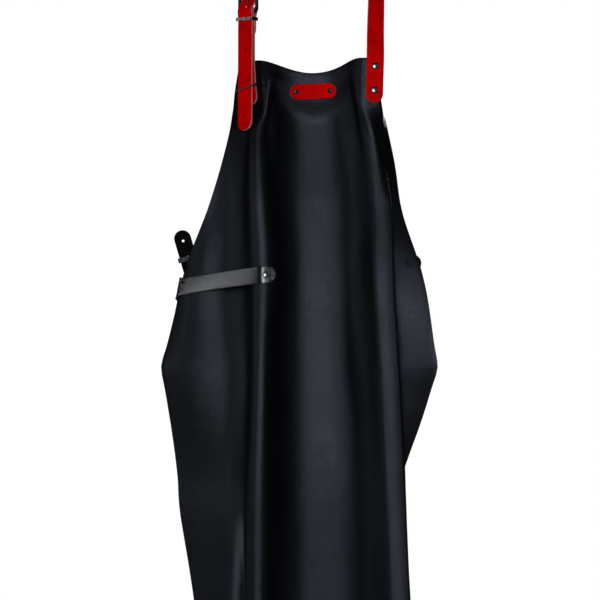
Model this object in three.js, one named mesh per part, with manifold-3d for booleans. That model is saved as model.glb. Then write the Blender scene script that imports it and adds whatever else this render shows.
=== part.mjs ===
// A leather bib apron hung by its neck strap on a wide half-round wall hook.
// Millimetres: +X right, -Y towards the viewer, +Z up. The origin is the middle of the hook's wall face.
import * as THREE from "three";
import { mergeVertices } from "three/addons/utils/BufferGeometryUtils.js";
import Module from "manifold-3d";

// ---- driving dimensions
const gap = 0.3; // air between pieces that touch
const hookRadius = 94.2; // outside of the saddle that the strap lies on
const hookReach = 62; // wall to the front of the saddle
const hookSheet = 3;
const hookPlate = 4;
const hookPlateMargin = 14; // plate beyond the saddle
const hookSkirt = 26; // plate below the arch's centre
const saddleFoot = 2; // saddle below the arch's centre
const hookLip = 10; // front lip above the saddle
const screwHeadRadius = 5.5;
const screwShankRadius = 2.2;
const screwLength = 4; // as far as the wall's face

const strapWidth = 25;
const strapThick = 3;
const strapDepth = -36; // middle of the strap on the saddle
const waistThick = 2.6;
const splitGap = 4; // air where the strap's arch meets its hanging legs
const splitDrop = 45; // below the arch's centre, where the legs start to swing

const leather = 2; // apron panel
const lapAir = 0.5; // more air under what lies on the panel's curve
const apronLength = 860;
const apronWidth = 600; // flat, at the side corners
const bibWidth = 230; // flat, at the top
const cornerDrop = 450; // bib top to the side corners
const hemTaper = 144; // how much narrower the hem is than the corners
const hemRadius = 26;
const neckDip = 18; // neckline below the bib's corners
const neckHalf = 82;
const bibTop = -201.5; // height of the bib's corners

const bibStrapRight = 104; // flat distance from the middle to the strap on the bib
const bibStrapLeft = -97.5;
const strapLap = 65; // strap on the bib
const rivetFromEnd = [17.5, 52.6];
const capRadius = 5.25;
const shankRadius = 1.8;

const buckleWindow = [27.6, 22.5]; // inside: across, along
const buckleBar = 3.6;
const foldLength = 38; // strap end turned back round the heel bar
const prongRadius = 1.25;
const neckBuckleHeight = -129; // heel bar
const tailLength = 177; // heel bar to the tail's tip
const holeRadius = 1.7;
const keeperWall = 1.8;
const keeperAir = 2; // beside the strap in a keeper

const patch = [71, 22, 1.8]; // label patch: wide, high, thick
const patchHeight = -246;
const patchRivetSpan = 52;
const patchTilt = 2; // degrees

const waistHeight = -517; // waist strap's rivet on the front
const waistSlope = 5.6; // degrees down to the left
const waistTailLength = 175;

// ---- materials
const paint = (color, roughness, metalness = 0) =>
  new THREE.MeshStandardMaterial({ color, roughness, metalness });
const blackLeather = paint(0x1b1c20, 0.5);
const redLeather = paint(0xb0202a, 0.5);
const blackSteel = paint(0x141416, 0.4, 0.7);
const nickel = paint(0xc8c8c6, 0.25, 1);

// ---- solids
const wasm = await Module();
wasm.setup();
const at = (x, y, z) => new THREE.Vector3(x, y, z);
const rad = THREE.MathUtils.degToRad;

function toSolid(geometry) {
  const plain = new THREE.BufferGeometry();
  const source = geometry.index ? geometry.toNonIndexed() : geometry;
  plain.setAttribute("position", source.getAttribute("position").clone());
  const merged = mergeVertices(plain, 1e-4);
  return new wasm.Manifold(
    new wasm.Mesh({
      numProp: 3,
      vertProperties: merged.attributes.position.array,
      triVerts: new Uint32Array(merged.index.array),
    }),
  );
}

function toGeometry(solid) {
  const raw = solid.getMesh();
  const geometry = new THREE.BufferGeometry();
  geometry.setAttribute("position", new THREE.BufferAttribute(new Float32Array(raw.vertProperties), 3));
  geometry.setIndex(new THREE.BufferAttribute(new Uint32Array(raw.triVerts), 1));
  const flat = geometry.toNonIndexed();
  flat.computeVertexNormals();
  return flat;
}

const cut = (geometry, tools) =>
  toGeometry(tools.reduce((solid, tool) => solid.subtract(toSolid(tool)), toSolid(geometry)));
const join = (pieces) => toGeometry(pieces.map(toSolid).reduce((sum, piece) => sum.add(piece)));

// A rod or hole tool of the given length along a direction, centred on a point.
function rod(centre, direction, radius, length, sides = 12) {
  const geometry = new THREE.CylinderGeometry(radius, radius, length, sides);
  const turn = new THREE.Quaternion().setFromUnitVectors(new THREE.Vector3(0, 1, 0), direction.clone().normalize());
  return geometry.applyQuaternion(turn).translate(centre.x, centre.y, centre.z);
}

function roundedRectangle(width, height, radius) {
  const r = Math.min(radius, width / 2 - 0.01, height / 2 - 0.01);
  const shape = new THREE.Shape();
  shape.absarc(width / 2 - r, height / 2 - r, r, 0, Math.PI / 2);
  shape.absarc(-width / 2 + r, height / 2 - r, r, Math.PI / 2, Math.PI);
  shape.absarc(-width / 2 + r, -height / 2 + r, r, Math.PI, 1.5 * Math.PI);
  shape.absarc(width / 2 - r, -height / 2 + r, r, 1.5 * Math.PI, 2 * Math.PI);
  return shape;
}

// A plate of the given outline, centred on its own thickness.
const plate = (shape, thick, curveSegments = 5) =>
  new THREE.ExtrudeGeometry(shape, { depth: thick, bevelEnabled: false, curveSegments }).translate(0, 0, -thick / 2);

// ---- strips: straps bent and twisted along a path
// Each station holds its centre, the direction across the strip, the face's normal and half the width.
function stripGeometry(stations, thick, columns = 1) {
  const positions = [];
  const index = [];
  const perRow = (columns + 1) * 2;
  for (const { centre, across, face, half } of stations) {
    for (const side of [0.5, -0.5]) {
      for (let j = 0; j <= columns; j++) {
        const point = centre.clone().addScaledVector(across, half * ((2 * j) / columns - 1));
        point.addScaledVector(face, side * thick);
        positions.push(point.x, point.y, point.z);
      }
    }
  }
  const quad = (a, b, c, d) => index.push(a, b, c, a, c, d);
  const last = (stations.length - 1) * perRow;
  const back = columns + 1;
  for (let j = 0; j < columns; j++) {
    quad(j, back + j, back + j + 1, j + 1);
    quad(last + j, last + j + 1, last + back + j + 1, last + back + j);
  }
  for (let i = 0; i < stations.length - 1; i++) {
    const row = i * perRow;
    const next = row + perRow;
    for (let j = 0; j < columns; j++) {
      quad(row + j, row + j + 1, next + j + 1, next + j);
      quad(row + back + j, next + back + j, next + back + j + 1, row + back + j + 1);
    }
    quad(row, next, next + back, row + back);
    quad(row + columns, row + back + columns, next + back + columns, next + columns);
  }
  const geometry = new THREE.BufferGeometry();
  geometry.setAttribute("position", new THREE.Float32BufferAttribute(positions, 3));
  geometry.setIndex(index);
  if (toSolid(geometry).volume() < 0) {
    for (let i = 0; i < index.length; i += 3) [index[i], index[i + 1]] = [index[i + 1], index[i]];
    geometry.setIndex(index);
  }
  return geometry;
}

// A strip through knots of [point, face normal]. Round ends taper to a half circle.
// Where it folds aslant over an edge, a knot also gives that edge's direction, which the strip's rows then follow.
function strap(knots, { thick = strapThick, half = strapWidth / 2, roundStart = false, roundEnd = false } = {}) {
  const pitch = 14; // longest cell along the strip
  const path = new THREE.CatmullRomCurve3(knots.map(([point]) => point), false, "centripetal");
  const spans = knots.length - 1;
  const fine = 24;
  path.arcLengthDivisions = spans * fine;
  const lengths = path.getLengths();
  const total = lengths.at(-1);
  const from = roundStart ? half : 0;
  const to = total - (roundEnd ? half : 0);
  const bend = [12, 30, 50, 70].map(rad); // where a rounded end is sampled
  const distances = roundStart ? bend.map((angle) => [half * (1 - Math.cos(angle)), half * Math.sin(angle)]) : [];
  distances.push([from, half]);
  for (let i = 0; i < spans; i++) {
    const [low, high] = [lengths[i * fine], lengths[(i + 1) * fine]];
    const cells = Math.ceil((high - low) / pitch);
    for (let k = 0; k < cells; k++) {
      const distance = low + ((high - low) * k) / cells;
      if (distance > from + 1 && distance < to - 1) distances.push([distance, half]);
    }
  }
  distances.push([to, half]);
  if (roundEnd) {
    [...bend].reverse().forEach((angle) =>
      distances.push([total - half * (1 - Math.cos(angle)), half * Math.sin(angle)]));
  }
  const stations = distances.map(([distance, width]) => {
    const t = path.getUtoTmapping(distance / total);
    const place = Math.min(t * spans, spans - 1e-6);
    const i = Math.floor(place);
    const tangent = path.getTangent(t);
    const face = knots[i][1].clone().lerp(knots[i + 1][1], place - i);
    face.addScaledVector(tangent, -face.dot(tangent)).normalize();
    const square = tangent.clone().cross(face).normalize();
    const [low, high] = [knots[i][2] ?? square, knots[i + 1][2] ?? square];
    const across = low.clone().lerp(high, place - i);
    across.addScaledVector(face, -across.dot(face)).normalize();
    return { centre: path.getPoint(t), across, face, half: width / Math.abs(across.dot(square)) };
  });
  return stripGeometry(stations, thick);
}

// ---- the hanging panel's drape
// Across the panel at one height, the surface turns through these angles (degrees) at these flat places (mm).
const stationFields = ["drop", "edge", "outer", "inner", "ridge", "ridgeSoft", "leftFlank", "leftCrest", "leftSoft",
  "leftTrough", "rightTrough", "rightCrest", "rightSoft", "turnBack", "fold", "foldSoft", "flap"];
const drapeStations = [
  [0, -36, -36, -36, -110, 4, 36, -74, 10, 10, 50, 84, 10, 6, 119, 4, 30],
  [45, -36, -36, -36, -114, 4, 36, -74, 10, 24, 54, 84, 10, 6, 115, 4, 80],
  [70, -36, -36, -36, -118, 5, 36, -74, 10, 36, 56, 85, 10, 8, 120, 4, 92],
  [105, -36, -46, -45, -130, 6, 55, -96, 16, 52, 56, 102, 14, 76, 132, 6, 71],
  [205, -8, -28, -42, -160, 12, 64, -102, 20, 60, 53, 119, 18, 112, 163, 10, 31],
  [315, -47, -5, -31, -180, 16, 60, -94, 20, 59, 61, 127, 20, 115, 182, 13, 6],
  [450, -40, -6, -37, -187, 20, 86, -112, 20, 70, 56, 132, 20, 131, 202, 14, -14],
  [610, -29, -43, 36, -174, 20, 61, -113, 20, 67, 48, 134, 20, 144, 206, 15, 32],
  [860, -46, -46, 40, -170, 20, 44, -116, 20, 63, 57, 147, 20, 133, 212, 16, 77],
];
const crestDepths = [[0, -66], [105, -76], [205, -90], [315, -101], [450, -110], [860, -112]];
const troughPlace = [2, 0.018]; // middle of the trough at the top, and its drift to the right per mm of drop
const flatScale = apronWidth / 600; // the drape's flat places follow the panel's width
const dropScale = apronLength / 860;

function halfWidth(drop) {
  const bib = bibWidth / 2;
  const corner = apronWidth / 2;
  const side = (place) => {
    const above = THREE.MathUtils.clamp(place / cornerDrop, 0, 1);
    const below = THREE.MathUtils.clamp((place - cornerDrop) / (apronLength - cornerDrop), 0, 1);
    return bib + (corner - bib) * above ** 1.06 - (hemTaper / 2) * below ** 0.9;
  };
  const soft = 12; // rounds the side corner
  const width = (side(drop - soft) + 2 * side(drop) + side(drop + soft)) / 4;
  const intoHem = Math.max(0, drop - (apronLength - hemRadius));
  return width - hemRadius + Math.sqrt(Math.max(0, hemRadius ** 2 - intoHem ** 2));
}

function stationAt(drop) {
  const place = THREE.MathUtils.clamp(drop / dropScale, 0, drapeStations.at(-1)[0]);
  const i = Math.min(Math.max(drapeStations.findIndex((row) => row[0] >= place) - 1, 0), drapeStations.length - 2);
  const slope = (k) => {
    const a = drapeStations[Math.max(k - 1, 0)];
    const b = drapeStations[Math.min(k + 1, drapeStations.length - 1)];
    return a.map((value, c) => (b[c] - value) / (b[0] - a[0]));
  };
  const [low, high] = [drapeStations[i], drapeStations[i + 1]];
  const step = high[0] - low[0];
  const t = (place - low[0]) / step;
  const [m0, m1] = [slope(i), slope(i + 1)];
  const station = {};
  stationFields.forEach((field, c) => {
    station[field] =
      (2 * t ** 3 - 3 * t ** 2 + 1) * low[c] + (t ** 3 - 2 * t ** 2 + t) * step * m0[c] +
      (3 * t ** 2 - 2 * t ** 3) * high[c] + (t ** 3 - t ** 2) * step * m1[c];
  });
  return station;
}

function mixed(table, place) {
  const after = table.findIndex(([x]) => x >= place);
  if (after < 0) return table.at(-1)[1];
  if (after === 0) return table[0][1];
  const [[x0, y0], [x1, y1]] = [table[after - 1], table[after]];
  return y0 + ((y1 - y0) * (place - x0)) / (x1 - x0);
}

const sections = new Map();
// The panel's cross-section at one drop: flat places and the points they hang at.
function sectionAt(drop) {
  if (sections.has(drop)) return sections.get(drop);
  const q = stationAt(drop);
  const half = halfWidth(Math.min(drop, apronLength - hemRadius));
  const bends = [q.ridge - q.ridgeSoft, q.ridge + q.ridgeSoft, q.leftCrest - q.leftSoft, q.leftCrest + q.leftSoft, 0,
    q.rightCrest - q.rightSoft, q.rightCrest + q.rightSoft, q.fold - q.foldSoft, q.fold + q.foldSoft];
  const knots = [-half, ...bends.map((place) => place * flatScale), 2 * half];
  const turns = [q.edge, q.outer, q.inner, -q.leftFlank, q.leftTrough, 0, -q.rightTrough, q.turnBack, q.turnBack,
    q.flap, q.flap].map(rad);
  const angle = (place) => {
    let k = 0;
    while (k < knots.length - 2 && place > knots[k + 1]) k++;
    const t = THREE.MathUtils.clamp((place - knots[k]) / Math.max(knots[k + 1] - knots[k], 1e-6), 0, 1);
    return turns[k] + (turns[k + 1] - turns[k]) * t * t * (3 - 2 * t);
  };
  const steps = 600;
  const points = [[0, 0]];
  for (let i = 1; i <= steps; i++) {
    const middle = angle(-half + ((i - 0.5) * 2 * half) / steps);
    const [x, y] = points[i - 1];
    points.push([x + (Math.cos(middle) * 2 * half) / steps, y + (Math.sin(middle) * 2 * half) / steps]);
  }
  const find = (place) => {
    const f = THREE.MathUtils.clamp(((place + half) / (2 * half)) * steps, 0, steps);
    const i = Math.min(Math.floor(f), steps - 1);
    return [0, 1].map((c) => points[i][c] + (points[i + 1][c] - points[i][c]) * (f - i));
  };
  const crests = [q.leftCrest, q.rightCrest].map((place) => find(place * flatScale)[1]);
  const section = {
    find,
    x: troughPlace[0] + troughPlace[1] * drop - find(0)[0],
    y: mixed(crestDepths, drop / dropScale) - (crests[0] + crests[1]) / 2,
  };
  sections.set(drop, section);
  return section;
}

function hang(place, drop) {
  const section = sectionAt(Math.round(drop * 100) / 100);
  const [x, y] = section.find(place);
  return at(x + section.x, y + section.y, bibTop - drop);
}

// A point on the panel moved out of its front face, and that face's normal.
function onPanel(place, drop, out = 0) {
  const step = 1;
  const right = hang(place + step, drop).sub(hang(place - step, drop));
  const down = hang(place, drop + step).sub(hang(place, Math.max(0, drop - step)));
  const face = down.cross(right).normalize();
  return { point: hang(place, drop).addScaledVector(face, out), face };
}

// ---- hook
const plateRadius = hookRadius + hookPlateMargin;
const screwSpread = 0.72 * hookRadius; // screws from the arch's centre
const screwRise = 9.4; // the lower two above it
const screwPlaces = [[0, screwSpread], [-screwSpread, screwRise], [screwSpread, screwRise]];
const archShape = (outer, inner, foot) => {
  const shape = new THREE.Shape();
  shape.absarc(0, 0, outer, 0, Math.PI);
  shape.lineTo(-outer, -foot);
  if (inner <= 0) return shape.lineTo(outer, -foot);
  shape.lineTo(-inner, -foot);
  shape.lineTo(-inner, 0);
  shape.absarc(0, 0, inner, Math.PI, 0, true);
  shape.lineTo(inner, -foot);
  return shape.lineTo(outer, -foot);
};
// Stands a plate of an XZ outline between two depths.
const stand = (shape, near, far, curveSegments = 24) =>
  new THREE.ExtrudeGeometry(shape, { depth: far - near, bevelEnabled: false, curveSegments })
    .rotateX(Math.PI / 2)
    .translate(0, far, 0);

const hookBackPlate = cut(
  stand(archShape(plateRadius, 0, hookSkirt), -hookPlate, 0),
  screwPlaces.map(([x, z]) => rod(at(x, -hookPlate / 2, z), at(0, 1, 0), screwShankRadius + gap, 3 * hookPlate, 16)),
);
const saddleFront = -hookReach;
const hookSaddle = stand(archShape(hookRadius, hookRadius - hookSheet, saddleFoot), saddleFront, -hookPlate - gap);
const hookFrontLip = stand(
  archShape(hookRadius + hookLip, hookRadius - hookSheet, saddleFoot),
  saddleFront - gap - hookSheet,
  saddleFront - gap,
);

function wallScrew([x, z]) {
  const face = -hookPlate - gap;
  const rim = screwLength + 1.2;
  const crown = screwLength + 3.1;
  const profile = [[0, 0], [screwShankRadius, 0], [screwShankRadius, screwLength], [screwHeadRadius, screwLength],
    [screwHeadRadius, rim], [screwHeadRadius * 0.6, crown - 0.3], [0, crown]];
  const geometry = new THREE.LatheGeometry(profile.map(([r, h]) => new THREE.Vector2(r, h)), 16);
  return geometry.rotateX(Math.PI).translate(x, face + screwLength, z);
}

// ---- apron panel
function panelGeometry() {
  const columns = 44;
  const bibEnd = 112; // below it the neckline no longer bends the rows
  const cornerPitch = 22;
  const drops = [];
  for (let drop = 0; drop < bibEnd; drop += 16) drops.push(drop);
  for (let drop = bibEnd; drop < cornerDrop - 40; drop += 2 * cornerPitch) drops.push(drop);
  for (let drop = cornerDrop - cornerPitch; drop < cornerDrop + 30; drop += cornerPitch) drops.push(drop);
  for (let drop = cornerDrop + 70; drop < apronLength - hemRadius - 30; drop += 3 * cornerPitch) drops.push(drop);
  [0, 30, 55, 75].forEach((angle) => drops.push(apronLength - hemRadius * (1 - Math.sin(rad(angle)))));
  drops.push(apronLength);
  const stations = drops.map((base) => {
    const width = halfWidth(base);
    return Array.from({ length: columns + 1 }, (_, j) => {
      const place = width * ((2 * j) / columns - 1);
      const inside = Math.max(0, 1 - (place / neckHalf) ** 2);
      const drop = base + neckDip * inside ** 2 * Math.max(0, 1 - base / bibEnd);
      return onPanel(place, drop);
    });
  });
  const positions = [];
  const index = [];
  for (const row of stations) {
    for (const side of [0.5, -0.5]) {
      row.forEach(({ point, face }) =>
        positions.push(...point.clone().addScaledVector(face, side * leather).toArray()));
    }
  }
  const perRow = (columns + 1) * 2;
  const backSide = columns + 1;
  const quad = (a, b, c, d) => index.push(a, b, c, a, c, d);
  for (let i = 0; i < drops.length - 1; i++) {
    const row = i * perRow;
    const next = row + perRow;
    for (let j = 0; j < columns; j++) {
      quad(row + j, next + j, next + j + 1, row + j + 1);
      quad(row + backSide + j, row + backSide + j + 1, next + backSide + j + 1, next + backSide + j);
    }
    quad(row, row + backSide, next + backSide, next);
    quad(row + columns, next + columns, next + backSide + columns, row + backSide + columns);
  }
  const last = (drops.length - 1) * perRow;
  for (let j = 0; j < columns; j++) {
    quad(j, j + 1, backSide + j + 1, backSide + j);
    quad(last + j, last + backSide + j, last + backSide + j + 1, last + j + 1);
  }
  const geometry = new THREE.BufferGeometry();
  geometry.setAttribute("position", new THREE.Float32BufferAttribute(positions, 3));
  geometry.setIndex(index);
  return geometry;
}

// ---- rivets: a domed cap with its shank, and a washer on the far side
const rivetHoles = [];
const washerThick = 1.1;
const washerRadius = 4.4;

// The rivet clamps from `front` out of the base point to `behind` under it, along the face.
function rivet(point, face, front, behind, radius = capRadius) {
  const seat = front + gap;
  const end = behind + gap + washerThick;
  const height = 0.42 * radius;
  const profile = [[0, -end], [shankRadius, -end], [shankRadius, seat], [radius, seat], [radius, seat + 0.5],
    [0.8 * radius, seat + 0.62 * height], [0.42 * radius, seat + 0.92 * height], [0, seat + height]];
  const washer = [[shankRadius + gap, -end], [washerRadius, -end], [washerRadius, -end + washerThick],
    [shankRadius + gap, -end + washerThick], [shankRadius + gap, -end]];
  const turn = new THREE.Quaternion().setFromUnitVectors(new THREE.Vector3(0, 1, 0), face);
  const lathe = (points) =>
    new THREE.LatheGeometry(points.map(([r, h]) => new THREE.Vector2(r, h)), 12)
      .applyQuaternion(turn)
      .translate(point.x, point.y, point.z);
  const hole = rod(point, face, shankRadius + gap, 2 * (front + behind + 8));
  rivetHoles.push(hole);
  return { cap: lathe(profile), washer: lathe(washer), hole };
}

const onLeather = leather / 2 + gap; // panel's middle to the underside of what lies on it
const strapOut = onLeather + lapAir + strapThick / 2;
const strapFront = onLeather + lapAir + strapThick;

// Rivets through a strap lapped on the bib, measured up from the strap's end.
const lapRivets = (place, lap) =>
  rivetFromEnd.map((distance) => {
    const { point, face } = onPanel(place, lap - distance);
    return rivet(point, face, strapFront + gap, leather / 2 + 2 * lapAir);
  });

// ---- neck strap
const archRadius = hookRadius + gap + strapThick / 2;
const legTop = -splitDrop;
const archFoot = legTop + splitGap;
const splitTurn = 88; // how far the legs' faces still look sideways at the split, degrees

const turned = (side, degrees) => at(side * Math.sin(rad(degrees)), -Math.cos(rad(degrees)), 0);
const leg = (side, height, degrees, forward = 0) =>
  [at(side * archRadius, strapDepth - forward, height), turned(side, degrees)];

function neckArch() {
  const knots = [leg(1, archFoot, splitTurn), leg(1, archFoot / 2, 90)];
  for (let angle = 0; angle <= 180; angle += 7.5) {
    const out = at(Math.cos(rad(angle)), 0, Math.sin(rad(angle)));
    knots.push([out.clone().multiplyScalar(archRadius).setY(strapDepth), out]);
  }
  return strap([...knots, leg(-1, archFoot / 2, 90), leg(-1, archFoot, splitTurn)]);
}

// The stretch of strap lapped on the bib, from its end up to the bib's top.
const lapped = (place, length) =>
  [1, 0.8, 0.6, 0.4, 0.2, 0].map((share) => {
    const { point, face } = onPanel(place, share * length, strapOut);
    return [point, face];
  });

const leftLap = strapLap + 2;
const rightRivets = lapRivets(bibStrapRight, strapLap);
const leftRivets = lapRivets(bibStrapLeft, leftLap);

function neckRight() {
  const lap = lapped(bibStrapRight, strapLap);
  const top = lap.at(-1)[0];
  const saddleSide = at(archRadius, strapDepth, 0);
  const knots = [
    ...lap,
    [saddleSide.clone().lerp(top, 0.75).setZ((bibTop * 3 + legTop) / 4), turned(1, 16)],
    [saddleSide.clone().setY(top.y * 0.38 + strapDepth * 0.62).setZ((bibTop + legTop * 2) / 3), turned(1, 27)],
    leg(1, legTop - 16, 70),
    leg(1, legTop, splitTurn),
  ];
  return cut(strap(knots, { roundStart: true }), rightRivets.map(({ hole }) => hole));
}

// ---- single-bar buckle
// Local axes are across the strap, along it towards the frame's far bar, and out of its face.
// The origin is on the lower strap's middle plane, level with the heel bar.
function basis(origin, along, face) {
  const up = along.clone().normalize();
  const out = face.clone().addScaledVector(up, -face.dot(up)).normalize();
  const across = up.clone().cross(out);
  const matrix = new THREE.Matrix4().makeBasis(across, up, out).setPosition(origin);
  return { origin, up, out, across, matrix };
}
const local = ({ origin, up, out }, u, n) => origin.clone().addScaledVector(up, u).addScaledVector(out, n);

function buckleKit(place, thick, fold) {
  const layer = thick + gap;
  const barDepth = -layer / 2;
  const loop = Math.SQRT1_2 * buckleBar + 1.6 * gap + thick / 2; // loop's middle line round the bar's corners
  const over = barDepth + loop + layer; // the holed strap's middle where it crosses the heel bar
  const above = layer + washerThick + 2 * gap; // and where it lies over the fold's rivet
  const farBar = buckleWindow[1] + buckleBar;
  const under = barDepth - buckleBar / 2 - 2 * gap - thick / 2; // its middle behind the far bar
  const put = (geometry) => geometry.applyMatrix4(place.matrix);
  const knot = (u, n) => [local(place, u, n), place.out];

  const frameShape = roundedRectangle(buckleWindow[0] + 2 * buckleBar, buckleWindow[1] + 2 * buckleBar, 6);
  frameShape.holes.push(roundedRectangle(buckleWindow[0], buckleWindow[1], 3));
  const frame = put(plate(frameShape, buckleBar).translate(0, farBar / 2, barDepth));

  const eye = Math.SQRT1_2 * buckleBar + 0.2;
  const collar = new THREE.Shape().absarc(0, 0, eye + 1.5, 0, 2 * Math.PI);
  collar.holes.push(new THREE.Path().absarc(0, 0, eye, 0, 2 * Math.PI, true));
  const ring = plate(collar, 4, 12).rotateY(Math.PI / 2).translate(0, 0, barDepth);
  const root = at(0, eye + 0.9, barDepth + 1);
  const tip = at(0, farBar + buckleBar / 2 + 0.6, barDepth + buckleBar / 2 + 2 * gap + prongRadius);
  const finger = tip.clone().sub(root);
  const middle = root.clone().add(tip).multiplyScalar(0.5);
  const prong = put(join([ring, rod(middle, finger, prongRadius, finger.length(), 10)]));
  const prongSlot = put(rod(middle, finger, prongRadius + 0.9, finger.length() + 2, 12));
  const foldSlot = put(new THREE.BoxGeometry(5, 4 * loop, 3 * loop + thick + 4).translate(0, loop / 2, barDepth));

  const foldRivet = rivet(
    local(place, -0.72 * fold, 0), place.out.clone().negate(), thick / 2 + layer, thick / 2 + gap);
  const foldKnots = [knot(-fold - 4, 0), knot(-fold * 0.45, 0), knot(-8, 0.3)];
  for (let angle = 0; angle <= 180; angle += 22.5) {
    const out = place.out.clone().multiplyScalar(Math.cos(rad(angle)))
      .addScaledVector(place.up, Math.sin(rad(angle)));
    foldKnots.push([local(place, 0, barDepth).addScaledVector(out, loop), out]);
  }
  [[-8, -layer - 0.3], [-0.45 * fold, -layer], [-fold, -layer]].forEach(([u, n]) =>
    foldKnots.push([local(place, u, n), place.out.clone().negate()]));
  const holedKnots = [[farBar + 10, under], [farBar + 2, under], [farBar - 3, under], [farBar * 0.45, (over + under) / 2],
    [2.5, over], [-3, over], [-14, above + 0.2], [-21, above]].map(([u, n]) => knot(u, n));
  return { frame, prong, prongSlot, foldSlot, foldRivet, foldKnots, holedKnots, layer, above, knot };
}

// A leather loop round a stack of straps.
function keeper(place, along, depth, thick, { wide, tilt = 0, air = keeperAir, sideways = 0 }) {
  const inside = strapWidth + air;
  const shape = roundedRectangle(inside + 2 * keeperWall, thick + 2 * keeperWall, 2.5);
  shape.holes.push(roundedRectangle(inside, thick, 1));
  const turn = new THREE.Matrix4().makeRotationZ(rad(tilt));
  const loop = plate(shape, wide).rotateX(Math.PI / 2).applyMatrix4(turn);
  return loop.translate(sideways, along, depth).applyMatrix4(place.matrix);
}

// ---- neck buckle and the straps through it
const leftBib = onPanel(bibStrapLeft, 0, strapOut);
const neckPlace = basis(leftBib.point.clone().setZ(neckBuckleHeight), at(0, 0, 1), leftBib.face);
const neckKit = buckleKit(neckPlace, strapThick, foldLength);
const tailAir = 1.5; // clear length between the strap's end and the swinging tail
const neckTailStart = -26; // along the strap from the heel bar, where the hanging tail starts to swing
// The hanging tail: along the strap, and how far it leans straight out towards the viewer.
const tailLean = [[neckTailStart, 0], [-45, 1.6], [-87, 7.2], [-121, 13.3], [-150, 19.5], [-tailLength, 27]];
const tailOut = neckKit.above + 0.2; // its middle where it leaves the stack
const neckHoles = [-56, -112, -157];
const upperKeeper = { place: -11.3, out: 1.2, wide: 4.6 }; // round the whole stack of straps
const lowerKeeper = { place: -114, wide: 1.7, tilt: 16, spare: 9 }; // a wire ring round the hanging tail alone

function neckBase() {
  const knots = [...lapped(bibStrapLeft, leftLap), neckKit.knot(-50, 0), ...neckKit.foldKnots];
  return cut(strap(knots, { roundStart: true, roundEnd: true }), [
    ...leftRivets.map(({ hole }) => hole),
    neckKit.foldSlot,
    neckKit.foldRivet.hole,
  ]);
}

function neckLeft() {
  const farBar = neckBuckleHeight + buckleWindow[1] + 3.75 * buckleBar; // where the leg meets the buckle
  const knots = [leg(-1, legTop, splitTurn), leg(-1, (legTop * 2 + farBar) / 3, 68), ...neckKit.holedKnots,
    neckKit.knot(neckTailStart + tailAir, neckKit.above)];
  return cut(strap(knots), [neckKit.prongSlot]);
}

// The middle of the hanging tail at a distance along it.
const onTail = (u) => {
  const lean = mixed(tailLean.map(([a, b]) => [-a, b]), -u);
  return local(neckPlace, u, tailOut).add(at(0, -lean, 0));
};

function neckTail() {
  const knots = tailLean.map(([u]) => [onTail(u), neckPlace.out]);
  const holes = neckHoles.map((u) => rod(onTail(u), neckPlace.out, holeRadius, 30));
  return cut(strap(knots, { roundEnd: true }), holes);
}

// ---- waist strap
const waistRivetFlat = stationAt(bibTop - waistHeight).leftCrest * flatScale + 2; // just off the left crest
const waistEndPastRivet = 14.5; // stiff end of the strap, which lifts off the crest
const frontDrop = (place) =>
  bibTop - waistHeight - (place - waistRivetFlat) * Math.tan(rad(waistSlope)) * 0.8;
const rimDrop = frontDrop(waistRivetFlat) + 18; // where the strap turns round the panel's left edge
const rim = onPanel(-halfWidth(rimDrop), rimDrop);
const fromRim = [46.08, 5.55]; // that edge to the buckle's heel bar
const waistPlace = basis(
  at(rim.point.x + fromRim[0], rim.point.y + fromRim[1], waistHeight - 101), at(0.28, 0, -0.96), at(0, 1, 0));
const waistFold = 26;
const waistKeeperPlace = -132;
const waistHoles = [-109, -134, -159];
const waistKit = buckleKit(waistPlace, waistThick, waistFold);
const waistOut = onLeather + 2 * lapAir + waistThick / 2;

function waistFront() {
  const front = [0, -7, -14, -21].map((step) => {
    const place = waistRivetFlat + step;
    const { point, face } = onPanel(place, frontDrop(place), waistOut);
    return [point, face];
  });
  const along = front[0][0].clone().sub(front[1][0]).normalize();
  along.addScaledVector(front[0][1], -along.dot(front[0][1])).normalize();
  [0.5, 1].forEach((share) =>
    front.unshift([
      front.at(-4)[0].clone().addScaledVector(along, share * waistEndPastRivet),
      front.at(-4)[1],
    ]));
  const higher = rimDrop - 20;
  const edge = onPanel(-halfWidth(higher), higher).point.sub(rim.point).normalize();
  const outward = edge.clone().cross(rim.face).normalize();
  if (outward.x > 0) outward.negate();
  const wrap = 6; // radius of the strap's middle round the panel's edge
  const advance = 8; // and how far it runs down the edge meanwhile
  const centre = rim.point.clone().addScaledVector(outward, 2.5);
  const around = [0, 45, 90, 135, 180].map((angle) => {
    const out = rim.face.clone().multiplyScalar(Math.cos(rad(angle)))
      .addScaledVector(outward, Math.sin(rad(angle)));
    const point = centre.clone().addScaledVector(out, wrap).addScaledVector(edge, (-advance * angle) / 180);
    return [point, out, edge];
  });
  const knots = [...front, ...around, ...waistKit.foldKnots];
  return cut(strap(knots, { thick: waistThick, roundStart: true, roundEnd: true }), [
    frontRivet.hole,
    waistKit.foldSlot,
    waistKit.foldRivet.hole,
  ]);
}

const insideCrest = 2; // air for its washer in the hollow of the crest
const frontRivet = (() => {
  const { point, face } = onPanel(waistRivetFlat, frontDrop(waistRivetFlat));
  return rivet(point, face, waistOut + waistThick / 2, leather / 2 + insideCrest);
})();

const rightDrop = 297; // bib top to the waist strap's place behind the right edge
const rightEdge = halfWidth(rightDrop);
const rightRivetInset = 16;
const behindOut = waistOut + lapAir; // more air behind, where the flap curves
const rightRivet = (() => {
  const { point, face } = onPanel(rightEdge - rightRivetInset, rightDrop);
  return rivet(point, face.clone().negate(), behindOut + waistThick / 2, leather / 2 + lapAir);
})();

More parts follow.
